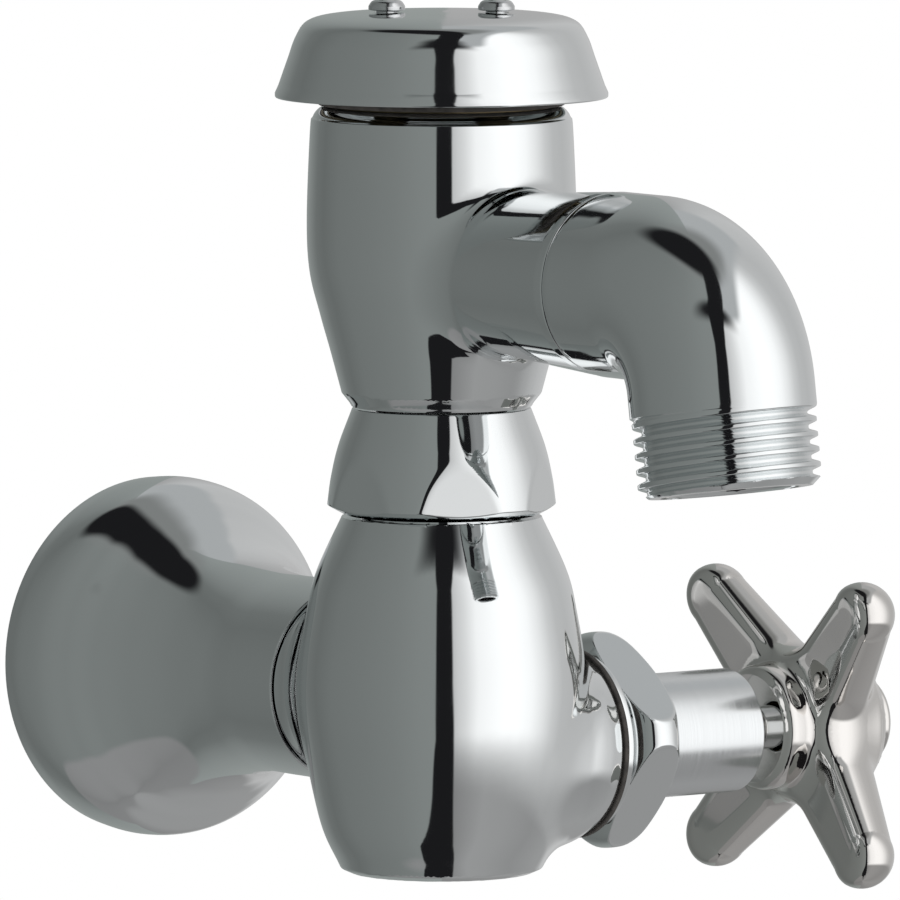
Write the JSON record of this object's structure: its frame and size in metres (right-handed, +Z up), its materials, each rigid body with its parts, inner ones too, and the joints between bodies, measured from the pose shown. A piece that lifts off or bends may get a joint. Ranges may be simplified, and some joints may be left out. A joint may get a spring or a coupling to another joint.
{
  "type": "hose bib",
  "caption": "Chrome wall-mounted hose bib: bell wall flange, bulb valve body, four-arm cross handle, hooded vacuum breaker and a swivelling elbow spout with a hose thread.",
  "frame": {"origin": "centre of the inlet, where its axis meets the wall plane at the back of the flange", "axes": "+Z up along the upright axis of the valve body, +Y into the wall along the inlet, +X along the stem towards the handle, -Y the way the spout points"},
  "size_m": [0.1085, 0.1615, 0.1367],
  "materials": {
    "chrome": "polished",
    "satin_chrome": "brushed satin",
    "brass": "machined",
    "steel": "bright",
    "rubber": "matte",
    "fibre": "matte pressed fibre",
    "plastic": "matte moulded"
  },
  "bodies": {
    "valve": {"wall_flange": "chrome", "inlet_shank": "brass", "valve_body": "chrome", "seat_ring": "brass", "bonnet_gasket": "fibre", "bonnet": "chrome", "stem_packing": "rubber", "packing_gland": "brass", "packing_sleeve": "satin_chrome", "coupling_nut": "chrome"},
    "washer_carrier": {"washer_holder": "brass", "seat_washer": "rubber", "washer_screw": "brass"},
    "handle": {"valve_stem": "chrome", "cross_handle": "chrome", "handle_screw": "steel", "index_button": "chrome"},
    "spout_head": {"breaker_body": "chrome", "swivel_ring": "steel", "swivel_o_ring_lower": "rubber", "swivel_o_ring_upper": "rubber", "vent_cap": "brass", "cap_gasket": "fibre", "hood": "chrome", "hood_screw_left": "steel", "hood_screw_right": "steel", "spout_elbow": "chrome"},
    "float": {"breaker_float": "plastic", "float_seat_washer": "rubber", "vent_washer": "rubber"}
  },
  "joints": [
    {"name": "washer_lift", "type": "slide", "parent": "valve", "child": "washer_carrier", "axis": [1, 0, 0], "range_m": [0, 0.00374]},
    {"name": "handle_turn", "type": "hinge", "parent": "washer_carrier", "child": "handle", "pos_m": [0, -0.0763, -0.0086], "axis": [1, 0, 0], "range_deg": [0, 540]},
    {"name": "spout_swivel", "type": "hinge", "parent": "valve", "child": "spout_head", "pos_m": [0, -0.0763, 0.035], "axis": [0, 0, 1], "range_deg": [-90, 90]},
    {"name": "float_lift", "type": "slide", "parent": "spout_head", "child": "float", "axis": [0, 0, 1], "range_m": [0, 0.003]}
  ],
  "couplings": [
    {"joint": "handle_turn", "follows": "washer_lift", "rad_per_m": 2513.3}
  ]
}
